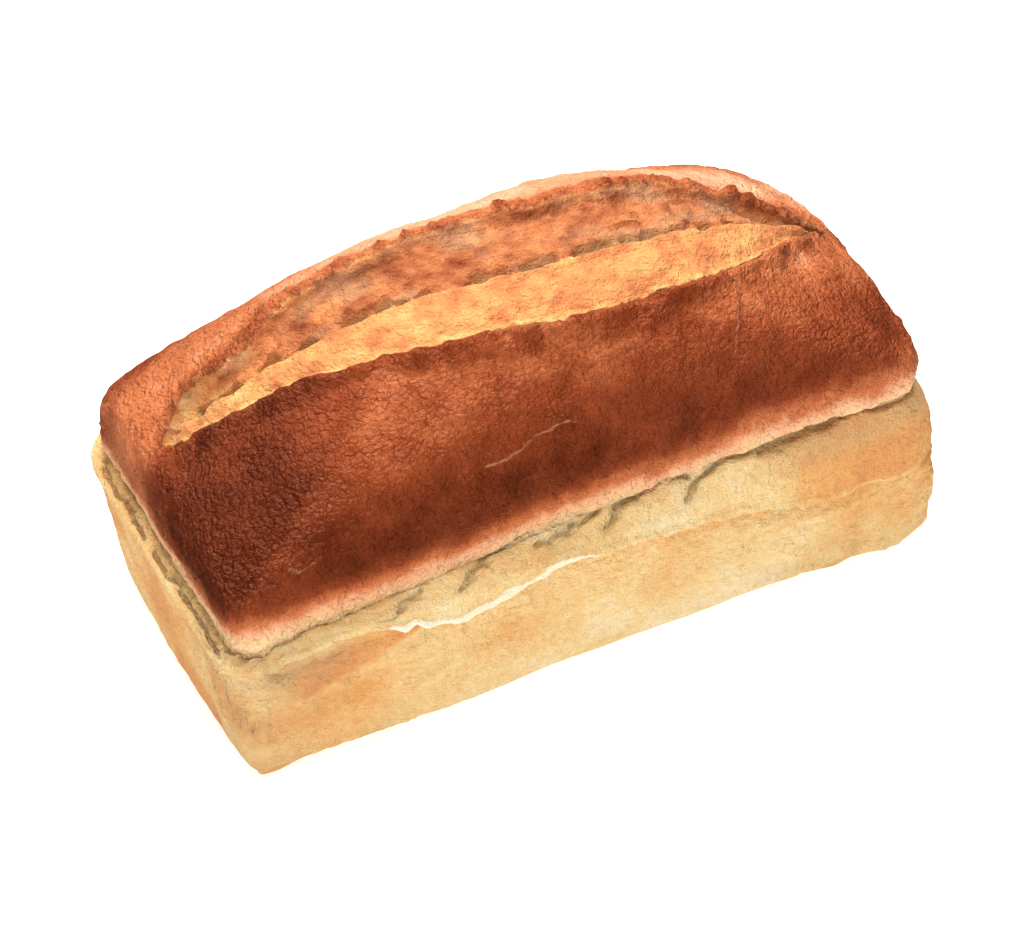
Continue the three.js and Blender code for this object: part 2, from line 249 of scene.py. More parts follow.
def wall_point(z, inset):
    """The flared wall at a height, moved inwards by the inset."""
    share = np.minimum(FLARE_LIMIT, z / RIM_HEIGHT)
    base_x, base_y = outline(BASE, inset)
    rim_x, rim_y = outline(RIM, inset)
    x, y = lerp(base_x, rim_x, share), lerp(base_y, rim_y, share)
    return np.stack([x, y, z + 0 * x], axis=1)


rim_x, rim_y = outline(RIM)
ledge_z = ledge_height(rim_x, rim_y)
edge_z = edge_height(rim_x, rim_y)
proud = ledge_proud(rim_x, rim_y)
lip_height = np.minimum(LEDGE_LIP, 0.4 * (edge_z - ledge_z))

foot_x, foot_y = outline(CRUST)
foot_z = edge_height(foot_x, foot_y) + EDGE_ROLL


def crease_path(x):
    """How far back the crease lies."""
    swing = np.cos(math.pi * (x - CREASE_SWING_X) / CREASE_SWING_LENGTH)
    return CREASE_MIDDLE - CREASE_SWING * swing


# A station and the one straight across the loaf share a point of the crease.
middle_x = (foot_x + outline(CRUST, mirror=-1)[0]) / 2
crust_left = -CRUST["left"] - CRUST["bulge_left"]
crust_right = CRUST["right"] + CRUST["bulge_right"]
crease_x = lerp(CREASE_LEFT, CREASE_RIGHT, (middle_x - crust_left) / (crust_right - crust_left))
crease_y = crease_path(crease_x)
crest_fall = np.where(
    crease_x < 0,
    LEFT_FALL * np.abs(crease_x / CREASE_LEFT) ** LEFT_FALL_POWER,
    RIGHT_FALL * np.abs(crease_x / CREASE_RIGHT) ** RIGHT_FALL_POWER,
)
crest_z = SUMMIT - crest_fall
from_end = np.minimum(crease_x - CREASE_LEFT, CREASE_RIGHT - crease_x)
split_depth = lerp(0.3, 1, smooth(0, SPLIT_RUN_OUT, from_end))
crease_z = crest_z - CREASE_DEPTH * split_depth
crown_span = np.hypot(foot_x - crease_x, foot_y - crease_y)


def lip_width(lip, x):
    """How far from the crease a lip lies."""
    half = np.where(x < lip["centre"], lip["left"], lip["right"])
    power = np.where(x < lip["centre"], lip["left_power"], lip["right_power"])
    return lip["width"] * np.clip(1 - np.abs((x - lip["centre"]) / half) ** power, 0, 1)


def is_in_split(x, y):
    """Whether places of the crown, seen from above, lie between the lips."""
    across = y - crease_path(x)
    beyond = np.maximum(0, np.maximum(CREASE_LEFT - x, x - CREASE_RIGHT))
    width = np.where(across < 0, lip_width(NEAR_LIP, x), lip_width(FAR_LIP, x))
    return np.hypot(across, beyond) < np.maximum(width, END_LIP)


# The share of the way from the crease to the foot at which each station meets its lip, found by
# halving.
HALVINGS = 20
lip_share = np.zeros_like(crease_x)
outside = np.full_like(crease_x, LIP_LIMIT)
for step in range(HALVINGS):
    share = (lip_share + outside) / 2
    inside = is_in_split(lerp(crease_x, foot_x, share), lerp(crease_y, foot_y, share))
    lip_share = np.where(inside, share, lip_share)
    outside = np.where(inside, outside, share)


def smooth_crown(share):
    """The unsplit crown and the direction out of it, at a share of the way to its foot."""
    level_x, level_y = outline(CRUST, 0, np.sqrt(1 - share**2))
    offset = out_y * (crease_y - CREST_Y) / np.abs(foot_y - CREST_Y)
    from_crest = lerp(offset, 1, share)
    nearness = np.where(from_crest < 0, 1, near_share)
    back_power = lerp(BACK_POWER, BACK_END_POWER, place_x**4)
    end_power = np.where(out_x < 0, LEFT_POWER, RIGHT_POWER)
    power = lerp(end_power, lerp(back_power, FRONT_POWER, nearness), np.abs(out_y))
    front_share = from_crest * np.abs(foot_y - CREST_Y) / (CRUST["front"] + CREST_Y)
    away = np.where(from_crest < 0, front_share, from_crest)
    up = (1 - np.abs(away) ** power) ** (1 / power)
    point = np.stack([
        lerp(crease_x, level_x, share),
        lerp(crease_y, level_y, share),
        lerp(foot_z, crest_z, up),
    ], axis=1)
    steepness = (np.abs(away) / np.maximum(up, 0.05)) ** (power - 1) * np.sign(away)
    slope = (crest_z - foot_z) / crown_span * (1 - offset) * steepness
    outward = np.stack([
        (foot_x - crease_x) * slope / crown_span,
        (foot_y - crease_y) * slope / crown_span,
        np.ones_like(slope),
    ], axis=1)
    return point, outward / np.linalg.norm(outward, axis=1)[:, None]


def crown_point(share):
    """The crown with its split and lumps."""
    point, outward = smooth_crown(share)
    across = share / lip_share
    drop = smooth_crown(0 * share)[0][:, 2] - crease_z
    ridge = lerp(FAR_RIM, NEAR_RIM, near_share) * hill(across, RIM_PLACE, RIM_HALF)
    inside = np.clip(across, 0, 1)
    swell = NEAR_BAND_SWELL * split_depth * np.sin(math.pi * inside)
    band = swell - drop * (1 - smooth(0, 0.45, inside))
    step = np.minimum(FAR_LIP_DROP * split_depth, drop)
    slope = -step * (1 - smooth(0.82, 1, inside)) - (drop - step) * (1 - inside)
    relief = split_depth * ridge + lerp(slope, band, near_share)
    relief += lumps(0.9, 19, *point.T) * smooth(1, 1.5, across)
    return point + outward * relief[:, None]


# Every ring as its rise up the skin (1 base, 2 ledge, 3 shred, 4 groove, 5 crown, 6 lip, 7 crease),
# its points, and how far outside the split they lie.
rings = []
FAR_FROM_LIP = np.full(len(place_x), 60.0)

for turn in (0, 0.45, 1):
    angle = turn * math.pi / 2
    points = wall_point(BASE_ROUND * (1 - math.cos(angle)), BASE_ROUND * (1 - math.sin(angle)))
    rings.append((turn, points, FAR_FROM_LIP))

for share in (0.3, 0.6, 0.85, 1):
    z = lerp(BASE_ROUND, ledge_z - 2, share)
    recess = 0.35 * proud * smooth(0.8, 1, share) + lumps(0.5, 22, rim_x, rim_y, z)
    rings.append((1 + 0.9 * share, wall_point(z, recess), FAR_FROM_LIP))

for share in (0, 0.35, 1):
    z = ledge_z + lerp(-0.2, 1, share) * lip_height
    rings.append((2 + share, wall_point(z, -proud * lerp(1, 0.75, share)), FAR_FROM_LIP))

shred_low = ledge_z + lip_height
shred_high = edge_z - np.minimum(OVERLAP, 0.2 * (edge_z - shred_low))
groove_x, groove_y = outline(CRUST, GROOVE)
for share in (0.25, 0.5, 0.75, 0.9, 1):
    z = lerp(shred_low, shred_high, share)
    points = wall_point(z, lerp(-0.75 * proud, GROOVE, share**1.6) + lumps(0.7, 9, rim_x, rim_y, z))
    shoulder = share**SHOULDER
    points[:, 0] = lerp(points[:, 0], groove_x, shoulder)
    points[:, 1] = lerp(points[:, 1], groove_y, shoulder)
    rings.append((3 + share, points, FAR_FROM_LIP))

for share in (0.12, 0.35, 0.65, 1):
    angle = share * math.pi / 2
    x, y = outline(CRUST, GROOVE * (1 - math.sin(angle)))
    points = np.stack([x, y, foot_z - EDGE_ROLL * math.cos(angle)], axis=1)
    rings.append((4 + share, points, (1 - lip_share) * crown_span))

CROWN_RINGS = 13
for step in range(1, CROWN_RINGS + 1):
    share = np.cos(step / CROWN_RINGS * np.arccos(lip_share * LAST_CROWN_RING))
    rings.append((5 + step / CROWN_RINGS, crown_point(share), (share - lip_share) * crown_span))

for across in (1.04, 0.97, 0.86, 0.68, 0.48, 0.3, 0.15, 0.06):
    share = lip_share * across
    rise = 7 - across / LAST_CROWN_RING
    rings.append((rise, crown_point(share), (share - lip_share) * crown_span))
rings.append((7, np.stack([crease_x, crease_y, crease_z], axis=1), -lip_share * crown_span))

skin = np.array([ring[1] for ring in rings])
middle = (skin.min(axis=(0, 1)) + skin.max(axis=(0, 1))) / 2 * (1, 1, 0)

# The skin is a flat sheet with a row for each ring and a column for each station. It is wrapped
# round the loaf, and its meeting edges are merged: the seam, and both halves of the crease.
bpy.ops.object.select_all(action="DESELECT")
bpy.ops.mesh.primitive_grid_add(
    x_subdivisions=len(place_x) - 1,
    y_subdivisions=len(rings) - 1,
    size=1,
)
loaf = bpy.context.object
loaf.name = "loaf_bread"
mesh = loaf.data

flat = np.zeros(len(mesh.vertices) * 3)
mesh.vertices.foreach_get("co", flat)
flat = flat.reshape(-1, 3) + 0.5
column = np.rint(flat[:, 0] * (len(place_x) - 1)).astype(int)
row = np.rint(flat[:, 1] * (len(rings) - 1)).astype(int)
mesh.vertices.foreach_set("co", ((skin[row, column] - middle) * MM).ravel())


def store(name, values):
    """Keeps one value for each point of the mesh, for the sections that follow."""
    stored = mesh.attributes.new(name, "FLOAT", "POINT")
    stored.data.foreach_set("value", values.astype(np.float32))


store("rise", np.array([ring[0] for ring in rings])[row])
store("lip", np.array([ring[2] for ring in rings])[row, column])

MERGE_DISTANCE = 0.000001
bpy.ops.object.mode_set(mode="EDIT")
bpy.ops.mesh.select_all(action="SELECT")
bpy.ops.mesh.remove_doubles(threshold=MERGE_DISTANCE)
bpy.ops.object.mode_set(mode="OBJECT")

bpy.ops.object.modifier_add(type="SUBSURF")
loaf.modifiers[-1].levels = 2
loaf.modifiers[-1].render_levels = 2
bpy.ops.object.modifier_apply(modifier=loaf.modifiers[-1].name)

# The open bottom is closed with one flat face.
bpy.ops.object.mode_set(mode="EDIT")
bpy.ops.mesh.select_all(action="DESELECT")
bpy.ops.mesh.select_non_manifold()
bpy.ops.mesh.edge_face_add()
bpy.ops.mesh.select_all(action="SELECT")
bpy.ops.mesh.normals_make_consistent(inside=False)
bpy.ops.object.mode_set(mode="OBJECT")
bpy.ops.object.shade_smooth()

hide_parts("loaf")
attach(loaf, "root")


# ---- Loaf: places on the skin -------------------------------------------------------------------
# What part of the bread each point of the mesh belongs to, and which way it faces. The masks go
# from 0 to 1. x, y and z are views of place, so they follow when the points are moved.

LATTICE = 32


def read(attribute, width=1):
    values = np.zeros(len(attribute) * width)
    attribute.foreach_get({1: "value", 3: "vector"}[width], values)
    return values if width == 1 else values.reshape(-1, width)


place = np.zeros(len(mesh.vertices) * 3)
mesh.vertices.foreach_get("co", place)
place = place.reshape(-1, 3) / MM + middle
outward = read(mesh.vertex_normals, 3)
rise = read(mesh.attributes["rise"].data)
lip = read(mesh.attributes["lip"].data)
x, y, z = place.T
relief = np.zeros(len(place))


def grain(size, seed, stretch=(1, 1, 1), at=None):
    """Soft random values from -1 to 1 that change over about size millimetres."""
    lattice = np.random.default_rng(seed).uniform(-1, 1, (LATTICE, LATTICE, LATTICE))
    cell = (place if at is None else at) / (size * np.array(stretch))
    low = np.floor(cell).astype(int)
    part = cell - low
    part = part * part * (3 - 2 * part)
    total = np.zeros(len(place))
    for corner in np.ndindex(2, 2, 2):
        weight = np.prod(np.where(np.array(corner) == 1, part, 1 - part), axis=1)
        i, j, k = ((low + corner) % LATTICE).T
        total += weight * lattice[i, j, k]
    return total


def folds(size, seed, stretch=(1, 1, 1), at=None):
    """Narrow crests, 1 high, that wander between wider troughs of 0."""
    return np.clip(1 - 2.6 * np.abs(grain(size, seed, stretch, at)), 0, 1) ** 2


def between(value, start, full, waning, end):
    """1 from full to waning, fading to 0 at start and at end."""
    return smooth(start, full, value) * (1 - smooth(waning, end, value))


def from_path(path, first, second):
    """How far each place is from a path of points, seen in two coordinates."""
    nearest = np.full(len(place), 99.0)
    for (start_a, start_b), (end_a, end_b) in zip(path, path[1:]):
        run_a, run_b = end_a - start_a, end_b - start_b
        share = ((first - start_a) * run_a + (second - start_b) * run_b) / (run_a**2 + run_b**2)
        share = np.clip(share, 0, 1)
        distance = np.hypot(first - start_a - share * run_a, second - start_b - share * run_b)
        nearest = np.minimum(nearest, distance)
    return nearest


def from_corner(corner_x, corner_y):
    """How far each place is, seen from above, from an upright edge of the loaf."""
    return np.hypot(x - corner_x, y - corner_y)


level_x, level_y = outward[:, :2].T
steep = np.maximum(np.hypot(level_x, level_y), 0.01)
facing_front = smooth(0.4, 0.8, -level_y / steep)
facing_back = smooth(0.4, 0.8, level_y / steep)
facing_left = smooth(0.5, 0.8, -level_x / steep)
facing_right = smooth(0.5, 0.8, level_x / steep)
on_front = 1 - smooth(-40, -20, y)

on_wall = 1 - smooth(1.95, 2.1, rise)
on_shred = between(rise, 2.3, 2.9, 3.95, 4.2)
on_crown = smooth(4.9, 5.1, rise)
in_split = on_crown * (1 - smooth(-0.6, 0.4, lip))
on_crust = smooth(3.98, 4.2, rise) * (1 - in_split)
above_edge = z - edge_height(x, y)

beside_crease = y - crease_path(x)
far = smooth(-2, 2, beside_crease)
near = 1 - far
split_width = lerp(lip_width(NEAR_LIP, x), lip_width(FAR_LIP, x), far)
wide_split = smooth(1, 9, split_width)
beside_split = on_crown * wide_split


# ---- Loaf: wandering edges ----------------------------------------------------------------------
# Torn dough never ends in a straight line. The lips of the split, its crease, the ledge's lip and
# the crust's lower edge are moved to and fro before any relief is laid on them.

LIP_REACH = 7  # how far from a lip its wandering is still felt
CREASE_REACH = 3

# The far lip bulges out at the left end and draws in beside that, and the near lip draws in on the
# left.
lip_wander = 0.9 * grain(4.5, 1) + 0.9 * grain(12, 2) + 0.6 * grain(2.2, 3)
far_wander = 3.5 * hill(x, -99, 6) - 4.5 * hill(x, -79, 8)
near_wander = 3.2 * hill(x, -80, 16)
crease_wander = 1.5 * grain(5, 4) + 0.6 * grain(2.4, 5)
sway = lip_wander + lerp(near_wander, far_wander, far)
place[:, 1] += sway * hill(lip, 0, LIP_REACH) * beside_split
place[:, 1] += crease_wander * hill(beside_crease, 0, CREASE_REACH) * in_split * wide_split

# The ledge's lip sags on the left of the front and lies higher in the middle.
sag = 4 * between(x, -30, -14, 30, 62) - 5.5 * hill(x, -52, 13)
sag += 0.9 * grain(4, 60) + 0.6 * grain(2, 61)
place[:, 2] += sag * between(rise, 1.2, 2, 2.2, 4) * facing_front
place[:, 2] += (0.7 * grain(5, 62) + 0.5 * grain(2.2, 63)) * hill(rise, 4.05, 0.3)


# ---- Loaf: split --------------------------------------------------------------------------------
# The crown tore open along the top while it rose. Its lips dried to a lumpy rim with beads of burnt
# crust, and burst bubbles left craters of soft crumb along the crease.

# Nodules are the beads, as their places along the loaf, widths and heights.
FAR_NODULES = [
    (-108, 2.4, 0.8), (-101, 2.6, 1.0), (-95, 2.6, 1.1), (-88, 2.8, 1.2), (-76, 2.6, 1.4),
    (-71, 2.2, 1.0), (-60, 2.8, 1.3), (-48, 3.2, 1.2), (-44, 2, 0.8), (-34, 2.6, 1.4),
    (-26, 2.2, 2.0), (-16, 3.4, 1.3), (-11, 2, 0.8), (3, 2.8, 2.3), (9, 2.2, 1.0),
    (24, 2.4, 0.7), (37, 2.6, 2.1), (42, 2.2, 1.5), (58, 2.4, 0.8), (66, 2.4, 0.8),
    (76, 2.6, 2.3), (81, 2.2, 1.5),
]
NEAR_NODULES = [
    (-100, 3, 0.9), (-90, 3.2, 1.0), (-78, 2.4, 0.8), (-67, 3, 1.0), (-58, 2.6, 1.3),
    (-50, 2.6, 0.8), (-41, 3, 1.0), (-33, 2.6, 1.0), (-22, 2.2, 1.5), (-13, 2.2, 0.8),
    (4, 2.8, 2.0), (8, 2.2, 1.0), (17, 2.4, 1.0), (35, 2.4, 1.9), (40, 2.2, 1.0),
    (52, 2.4, 1.1), (64, 2.2, 0.6), (79, 2.4, 0.7),
]
# Craters, as their places along the loaf, half lengths and how far behind the crease they lie.
CRATERS = [
    (-96, 5, 0.5), (-88, 4.5, 1), (-76, 3.5, 3), (-66, 3, 1), (-52, 4.5, 1.2), (-42, 3, 2.4),
    (-37, 2.4, 1.5), (-31, 3.4, 1.5), (-13, 4.2, 1.6), (-7, 2.6, 2.4), (2, 4.4, 1.4),
    (8, 2.6, 2.2), (18, 3.4, 1.4), (25, 4.2, 1.6), (32, 3, 2), (41, 4.2, 1.6), (50, 4, 1.8),
    (60, 3, 1.5), (70, 3.4, 1.2),
]
NODULE_FROM_LIP = 0.9
NODULE_SQUASH = 0.75
CRATER_SQUASH = 0.75

NODULE_HEIGHT = 0.8
LIP_RIM_HEIGHT = 1.3
PLATE_HEIGHT = 0.9
DARK_RIDGE_HEIGHT = 1.4
LIP_WRINKLE_HEIGHT = 0.8
SLOPE_FOLD_HEIGHT = 1.1
BRINK_HEIGHT = 1.7
FIBRE_HEIGHT = 0.5
CRATER_DEPTH = 3.8
CREASE_CUT = 0.8
LEFT_HOLLOW_DEPTH = 1.6
RIGHT_HOLLOW_DEPTH = 1.2

nodules = np.zeros(len(place))
for side, beads in ((far, FAR_NODULES), (near, NEAR_NODULES)):
    for bead_x, width, height in beads:
        along = (x - bead_x) / width
        across = (lip - NODULE_FROM_LIP) / (NODULE_SQUASH * width)
        bead = np.clip(1.25 - np.hypot(along, across), 0, 1)
        nodules = np.maximum(nodules, bead**1.3 * height * side * on_crown)
nodules *= 1 + 0.5 * grain(1.5, 6)

# Between the nodules both lips have a lumpy rim, and just outside the near one the crust is raised
# in plates. The far lip ends on the right in a dark ridge.
lip_rim = hill(lip, lerp(1.4, 2.2, far), lerp(1.8, 2.8, far))
lip_rim *= beside_split * (0.75 + 0.55 * grain(3.2, 7))
plates = smooth(-0.05, 0.12, grain(9, 8, (1.5, 1, 1)) + 0.1) * between(lip, 0.2, 1, 5, 8)
plates *= near * beside_split
lip_wrinkles = folds(3.6, 66) * between(lip, 0, 2, 7, 16) * beside_split
dark_ridge = hill(lip, 1.2, 2) * between(x, 72, 80, 98, 104) * far * on_crown

crater_wear = grain(2.6, 64)
craters = np.zeros(len(place))
for crater_x, half, back in CRATERS:
    pit = np.hypot((x - crater_x) / half, (beside_crease - back) / (CRATER_SQUASH * half))
    craters = np.maximum(craters, (1 - smooth(0.6, 1.05, pit + 0.55 * crater_wear)) * in_split)
crease_line = hill(beside_crease, 0.4, 1) * in_split
near_brink = hill(beside_crease, -2.6, 1.6) * in_split * wide_split

# The split's left end is a hollow with torn fibres, and a pale hollow lies under the dark ridge.
left_hollow = in_split * smooth(-2, 1, beside_crease) * (1 - smooth(-80, -62, x))
left_hollow *= smooth(-0.4, 0.4, grain(7, 65, (2, 1, 1)) + hill(x, -98, 10))
left_fibres = in_split * (1 - smooth(-88, -70, x))
right_hollow = in_split * far * smooth(66, 80, x)
slope_folds = in_split * far * folds(4.5, 9, (3.2, 1, 1))

relief += NODULE_HEIGHT * nodules + LIP_RIM_HEIGHT * lip_rim + PLATE_HEIGHT * plates
relief += DARK_RIDGE_HEIGHT * dark_ridge + LIP_WRINKLE_HEIGHT * lip_wrinkles
relief += in_split * (0.5 * grain(4.5, 22) + lerp(0.35, 0.6, far) * grain(2, 23))
relief += SLOPE_FOLD_HEIGHT * slope_folds + BRINK_HEIGHT * near_brink
relief += FIBRE_HEIGHT * left_fibres * folds(3, 26, (5, 1, 1))
relief -= CRATER_DEPTH * craters * (1 + 0.3 * grain(2.5, 24)) + CREASE_CUT * crease_line
relief -= LEFT_HOLLOW_DEPTH * left_hollow * (1 + 0.5 * grain(6, 25, (2, 1, 1)))
relief -= RIGHT_HOLLOW_DEPTH * right_hollow


# ---- Loaf: walls and torn shred -----------------------------------------------------------------
# The walls took the tin's flat faces, with shallow folds where the dough hung back. Above them the
# rising crown pulled the dough apart, which left a shred of torn and overlapping crumb.

# Tears as paths, with their width and depth. The paths are in x and z, but on the ends in y and the
# way up the shelf of torn dough.
FRONT_TEARS = [
    ([(-112, 51), (-96, 54), (-82, 52.6)], 0.7, 1.4),
    ([(-76, 50.6), (-66, 50.6), (-58, 52)], 0.5, 1.0),
    ([(-50, 50), (-37, 52.6), (-24, 55.6)], 0.6, 1.8),
    ([(-23, 52.6), (-12, 53.4), (0, 55.4)], 0.6, 2.0),
    ([(0, 52.4), (10, 54.6), (22, 57), (30, 55.4)], 0.8, 2.4),
    ([(26, 51), (31, 53.4), (42, 56.8), (53, 58)], 0.9, 2.8),
    ([(53, 57), (66, 57.6), (78, 58.4)], 1.7, 3.0),
    ([(76, 58.4), (88, 59.4), (101, 58.6), (112, 57)], 0.8, 2.6),
]
END_TEARS = [
    ([(46, 3.8), (34, 2.8), (20, 3.6), (5, 2.4)], 0.7, 2.0),
    ([(0, 3.6), (-12, 3.0), (-19, 3.8)], 0.6, 1.8),
    ([(-20, 2.6), (-38, 3.4), (-52, 2.6)], 0.6, 1.6),
]
BACK_TEARS = [
    ([(-104, 51), (-80, 54), (-62, 52.6)], 1.1, 2.2),
    ([(-60, 50.8), (-40, 54), (-15, 55.6)], 1.2, 2.6),
    ([(-12, 52.6), (15, 56.4), (36, 56)], 1.3, 2.8),
    ([(33, 53), (60, 58), (98, 60)], 1.3, 2.8),
]
CLEAR = 9.0  # stands for the distance of places that are nowhere near a tear or a crack
SHELF_WIDTH = 6
WEDGE_LEFT = -101
WEDGE_LOW = 30
WEDGE_SLOPE = 0.28

TEAR_DEPTH = 0.8
UNDER_EDGE_HEIGHT = 0.5
CORNER_FOLD_HEIGHT = 1.8
FLAP_HEIGHT = 1.5
FLAP_UNDERCUT = 1.4
WEDGE_HEIGHT = 1.1

wander_along = x + 1.4 * grain(5, 10)
wander_up = z + 1.0 * grain(6, 11) + 0.5 * grain(2.5, 12)
up_shelf = SHELF_WIDTH * (rise - 3) + 0.8 * grain(5, 68) + 0.5 * grain(2, 69)
tears = np.zeros(len(place))
tear_line = np.full(len(place), CLEAR)
for side, along, up, paths in (
    (facing_front, wander_along, wander_up, FRONT_TEARS),
    (facing_left, y, up_shelf, END_TEARS),
    (facing_right, -y, up_shelf, END_TEARS),
    (facing_back, wander_along, wander_up, BACK_TEARS),
):
    for path, width, depth in paths:
        distance = from_path(path, along, up)
        tears = np.maximum(tears, depth * hill(distance, 0, 0.9 * width) * side)
        tear_line = np.minimum(tear_line, lerp(CLEAR, distance / width, side))
tear_zone = between(rise, 2.8, 3.2, 4.35, 4.7)
tears *= tear_zone
under_edge = hill(above_edge, -0.8, 1.3) * tear_zone

# The dough hangs over the wall in a flap along the front, and is bunched in folds under the near
# left corner. Left of the flap the wall is raised in a wedge that climbs to the right.
flap = facing_front * between(x, -82, -68, 30, 114)
corner_folds = folds(3.6, 18, (1, 1, 2.6)) * hill(from_corner(-116, -58), 0, 26) * smooth(14, 26, z)
corner_folds *= between(rise, 1, 1.4, 4, 4.4)
wedge_top = WEDGE_LOW + (x - WEDGE_LEFT) * WEDGE_SLOPE
wedge_end = between(x, -110, -98, -63, -58) * on_front
wall_folds = 1.5 * folds(5, 29, (5, 3, 0.9)) + 0.8 * folds(2.8, 74, (3.5, 2, 0.8))
wall_folds *= smooth(10, 70, np.abs(x) + 30 * grain(24, 30)) * (1 - facing_left)
wall_grain = 0.35 * grain(14, 27) + 0.22 * grain(5, 28, (2.4, 1, 0.7)) + 0.15 * grain(2.5, 35)
shred_grain = 0.6 * grain(3.6, 31, (1.5, 1, 1)) + 0.8 * grain(9, 32, (1.6, 1, 0.6))

relief += on_wall * (wall_grain + wall_folds)
relief += on_shred * lerp(0.8, 0.25, flap) * shred_grain
relief += CORNER_FOLD_HEIGHT * corner_folds
relief += hill(rise, 2.15, 0.25) * (FLAP_HEIGHT + 0.7 * grain(3.2, 33)) * flap
relief -= FLAP_UNDERCUT * hill(rise, 1.9, 0.07) * flap
relief += UNDER_EDGE_HEIGHT * under_edge - TEAR_DEPTH * tears
relief += WEDGE_HEIGHT * between(z - wedge_top, -0.8, 0.8, 2, 12) * wedge_end


# ---- Loaf: crust --------------------------------------------------------------------------------
# The crown's skin is thin and dry. Low down it was still soft while it was stretched, so it
# creased there, and a few pale cracks opened in the front.

# Creases and cracks as paths in x and z.
CREASES = [
    [(-32, 92), (-35, 84), (-36.5, 73)],
    [(-10, 107), (-13, 101), (-9, 96), (-3, 99), (0, 105)],
    [(9, 107), (12, 101), (9, 96)],
    [(56, 103), (53, 99), (45, 91), (40, 84)],
]
CRACKS = [
    [(-34, 85), (-27, 85.4), (-19, 87.6), (-11, 90), (-4, 88)],
    [(-98, 75), (-94, 73.5), (-88, 74.6)],
    [(53, 106), (52, 99), (46, 92)],
    [(88, 101), (92, 95), (90, 88)],
]
WRINKLE_HEIGHT = 2.1
CREASE_DENT_DEPTH = 0.9
CREASE_HALF = 1.7
CRACK_HEIGHT = 0.35
CRACK_HALF = 0.9

low_crown = (1 - smooth(6, 30, above_edge)) * on_crust
slanted = np.stack([x - 0.8 * z, y, z], axis=1)
slant_folds = folds(5, 13, (0.8, 3, 3), slanted) * low_crown * smooth(-30, 10, x)
edge_folds = folds(5, 14, (3, 3, 0.8)) * low_crown * (1 - smooth(-75, -40, x))
end_folds = folds(5, 15, (0.7, 3, 3)) * on_crust * smooth(78, 92, x)
wrinkles = 0.35 * slant_folds + 0.4 * edge_folds + 0.4 * end_folds
wrinkles += 0.22 * folds(7, 16, (1.6, 1, 1)) * on_crust * (0.5 + 0.8 * grain(24, 17))

crown_front = facing_front * on_crust
crack_line = np.full(len(place), CLEAR)
crease_dent = np.zeros(len(place))
for path in CREASES:
    distance = from_path(path, wander_along, wander_up)
    crease_dent = np.maximum(crease_dent, hill(distance, 0, CREASE_HALF) * crown_front)
for path in CRACKS:
    distance = from_path(path, wander_along, wander_up)
    crack_line = np.minimum(crack_line, lerp(CLEAR, distance, crown_front))

relief += on_crust * (0.5 * grain(13, 19) + 0.4 * grain(5.5, 20) + 0.3 * grain(2.6, 21))
relief += WRINKLE_HEIGHT * wrinkles - CREASE_DENT_DEPTH * crease_dent
relief += CRACK_HEIGHT * hill(crack_line, 0, CRACK_HALF) * on_crust

place += outward * relief[:, None]
place[:, 2] = np.maximum(place[:, 2], 0)
mesh.vertices.foreach_set("co", ((place - middle) * MM).ravel())
mesh.update()


# ---- Loaf: bake ---------------------------------------------------------------------------------
# How the oven coloured the bread, with painted light and shade in places. Bake goes from 0 for pale
# crumb to 1 for the darkest crust, and also holds painted light and shade on the walls and shred;
# grey is painted shade in hollows, white is a painted highlight on the ledge's lip, and gloss is
# where the crust shines.

# The bake of each part, with gains and losses in places, some of them painted light and shade, and
# then the shares of painted grey shade.
WALL_BAKE = 0.23
BACK_WALL_GAIN = 0.09
LOW_MIDDLE_TABLE_LIGHT = 0.14
END_STAIN = 0.16
UNDER_FLAP_SHADOW = 0.16
WALL_FOLD_GAIN = 0.12
WEDGE_GAIN = 0.18
SHRED_BAKE = 0.24
FLAP_BAKE = 0.2
RIGHT_SHRED_SHADOW = 0.2
BACK_SHRED_GAIN = 0.07
EDGE_BAKE = 0.07
ROLL_BAKE = 0.42
CROWN_BAKE = 0.58
DARK_BAKE = 0.9
DARKEST_BAKE = 0.95
RIGHT_TOP_LOSS = 0.18
LEFT_END_GAIN = 0.14
NEAR_LEFT_LOSS = 0.22
FAR_LIP_GAIN = 0.12
FAR_LEFT_BAKE = 0.48
FAR_CROWN_BAKE_AND_SHEEN = 0.27
FAR_LOW_BAKE = 0.7
NEAR_BAND_BAKE = 0.54
FAR_SLOPE_BAKE = 0.76
NODULE_BAKE = 0.68
RIDGE_BAKE = 0.74
CREASE_BAKE = 0.16
CRATER_BAKE = 0.34
LEFT_HOLLOW_LOSS = 0.24
RIGHT_HOLLOW_LOSS = 0.2
PLATE_GAIN = 0.12

CRATER_SHADE = 0.45
SLOPE_SHADE = 0.3
TEAR_SIDE_SHADE = 0.15
RIGHT_SHRED_SHADE = 0.32
LEFT_SHRED_SHADE = 0.3
CORNER_FOLD_SHADE = 0.3
CORNER_SHADE = 0.22

# The walls are paler low in the middle with painted light from the table, and brownest at the ends
# and on the wedge, with a painted shadow just under the flap.
low_wall = 1 - smooth(4, 26, z)
bake = WALL_BAKE + 0.06 * smooth(50, 90, np.abs(x)) + 0.06 * grain(22, 40)
bake += BACK_WALL_GAIN * facing_back - LOW_MIDDLE_TABLE_LIGHT * low_wall * hill(x, 10, 75)
bake += END_STAIN * hill(np.abs(x), 112, 26) * smooth(-0.3, 0.5, grain(16, 41, (1.6, 1, 0.7)))
bake += UNDER_FLAP_SHADOW * hill(rise, 1.93, 0.06) * flap
bake += WALL_FOLD_GAIN * folds(8, 42, (5, 3, 0.8)) * smooth(0, 0.6, grain(26, 43))
bake += WEDGE_GAIN * smooth(-0.5, 2, z - wedge_top) * wedge_end * (1 - smooth(43, 47, z))

shred_bake = lerp(SHRED_BAKE, FLAP_BAKE, flap) + 0.07 * grain(9, 44, (2, 1, 1))
# Painted shade darkens the right of the shred under the crust's overhang.
shred_bake += RIGHT_SHRED_SHADOW * smooth(48, 70, x) + BACK_SHRED_GAIN * facing_back
bake = lerp(bake, shred_bake, smooth(2, 2.4, rise))
